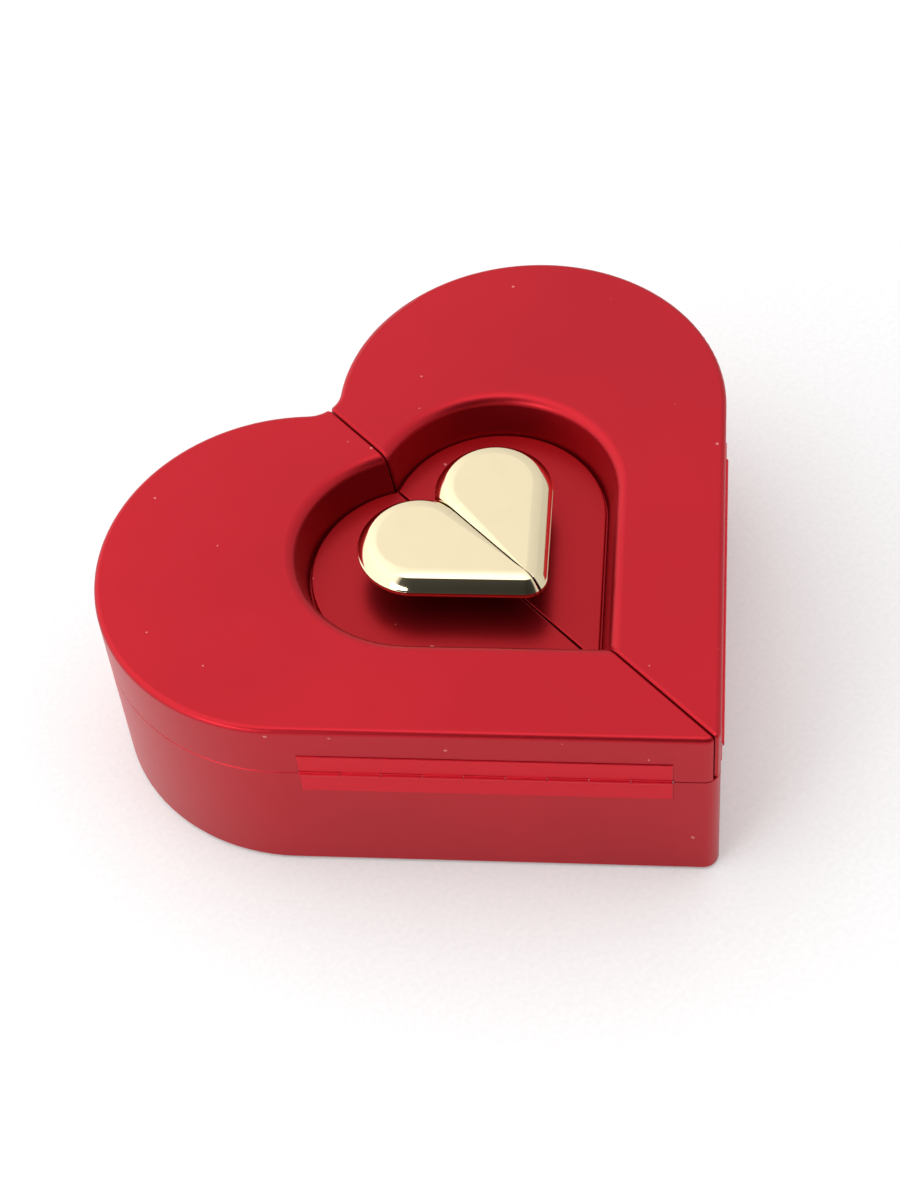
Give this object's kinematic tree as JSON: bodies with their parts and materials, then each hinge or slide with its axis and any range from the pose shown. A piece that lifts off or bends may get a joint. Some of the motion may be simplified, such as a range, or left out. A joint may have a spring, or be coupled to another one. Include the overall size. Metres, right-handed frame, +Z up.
{
  "type": "wind up music box",
  "caption": "Heart-shaped trinket box with two doors, a split heart handle in a recessed lid and a key-wound comb movement under a window in its tray.",
  "frame": {"origin": "centre of the bounding box's footprint, on the surface that the foot pads stand on", "axes": "+Y from the heart's point to its notch, +Z up, +X to the right"},
  "size_m": [0.1438, 0.1276, 0.0466],
  "materials": {
    "red_paint": "satin metallic red lacquer over a moulded shell",
    "red_plate": "satin red lacquered sheet",
    "hinge_red": "glossier red moulding of the strip hinges",
    "gold": "polished pale gold plating",
    "velvet": "dark flocking on a moulded tray",
    "black_plastic": "fine-textured moulded plastic",
    "clear": "clear acrylic window",
    "pad_rubber": "soft adhesive pads",
    "steel": "turned and ground steel",
    "nickel": "bright nickel plating",
    "brass": "plain brass",
    "zinc": "die-cast, as cast",
    "white_plastic": "moulded nylon"
  },
  "bodies": {
    "case": {"base_shell": "red_paint", "bottom_plate": "black_plastic", "bottom_screws": "steel", "foot_pads": "pad_rubber", "tray": "velvet", "window_pane": "clear", "window_frame": "gold", "base_magnets": "nickel", "hinge_leaf_base_right": "hinge_red", "hinge_leaf_base_left": "hinge_red", "hinge_pin_right": "steel", "hinge_pin_left": "steel", "bedplate": "nickel", "bed_screws": "steel", "fixing_screws": "steel", "comb_block": "zinc", "comb": "steel", "left_bracket": "nickel", "train_bracket": "nickel", "governor_bridge": "nickel", "click_post": "steel", "click": "steel", "plunger_spring": "steel"},
    "winding": {"winding_arbor": "steel", "winding_key": "nickel", "ratchet_wheel": "brass"},
    "barrel": {"spring_barrel": "brass", "barrel_cover": "brass", "mainspring": "steel", "crown_gear": "brass"},
    "cylinder": {"cylinder_arbor": "steel", "cylinder_drum": "brass", "cylinder_pinion": "brass", "cylinder_gear": "brass"},
    "wheel": {"wheel_arbor": "steel", "worm_wheel": "white_plastic"},
    "governor": {"governor_worm": "steel", "fly": "white_plastic"},
    "plunger": {"stop_plunger": "steel"},
    "door_right": {"door_shell_right": "red_paint", "recess_plate_right": "red_plate", "door_lining_right": "velvet", "door_magnet_right": "nickel", "handle_cap_right": "gold", "handle_base_right": "red_plate", "handle_screw_right": "steel", "hinge_leaf_door_right": "hinge_red"},
    "door_left": {"door_shell_left": "red_paint", "recess_plate_left": "red_plate", "door_lining_left": "velvet", "door_magnet_left": "nickel", "handle_cap_left": "gold", "handle_base_left": "red_plate", "handle_screw_left": "steel", "hinge_leaf_door_left": "hinge_red"}
  },
  "joints": [
    {"name": "door_right_hinge", "type": "hinge", "parent": "case", "child": "door_right", "pos_m": [0, -0.06511, 0.0311], "axis": [0.7071, 0.7071, 0], "range_deg": [0, 110]},
    {"name": "door_left_hinge", "type": "hinge", "parent": "case", "child": "door_left", "pos_m": [0, -0.06511, 0.0311], "axis": [0.7071, -0.7071, 0], "range_deg": [0, 110]},
    {"name": "winding_turn", "type": "hinge", "parent": "case", "child": "winding", "pos_m": [-0.013, -0.003, 0.005], "axis": [0, 0, 1], "continuous": true},
    {"name": "barrel_spin", "type": "hinge", "parent": "case", "child": "barrel", "pos_m": [-0.013, -0.003, 0.015], "axis": [0, 0, 1], "continuous": true},
    {"name": "cylinder_spin", "type": "hinge", "parent": "case", "child": "cylinder", "pos_m": [0, -0.003, 0.0202], "axis": [1, 0, 0], "continuous": true},
    {"name": "wheel_spin", "type": "hinge", "parent": "case", "child": "wheel", "pos_m": [0.02, 0.00465, 0.0202], "axis": [1, 0, 0], "continuous": true},
    {"name": "governor_spin", "type": "hinge", "parent": "case", "child": "governor", "pos_m": [0.0238, 0.0106, 0.02], "axis": [0, 0, 1], "continuous": true},
    {"name": "plunger_rise", "type": "slide", "parent": "case", "child": "plunger", "axis": [0, 0, 1], "range_m": [0, 0.0014]}
  ],
  "couplings": [
    {"joint": "cylinder_spin", "follows": "barrel_spin", "ratio": 2.125},
    {"joint": "wheel_spin", "follows": "barrel_spin", "ratio": -7.9688},
    {"joint": "governor_spin", "follows": "barrel_spin", "ratio": 191.25},
    {"joint": "plunger_rise", "follows": "door_right_hinge", "m_per_rad": 0.0007}
  ]
}
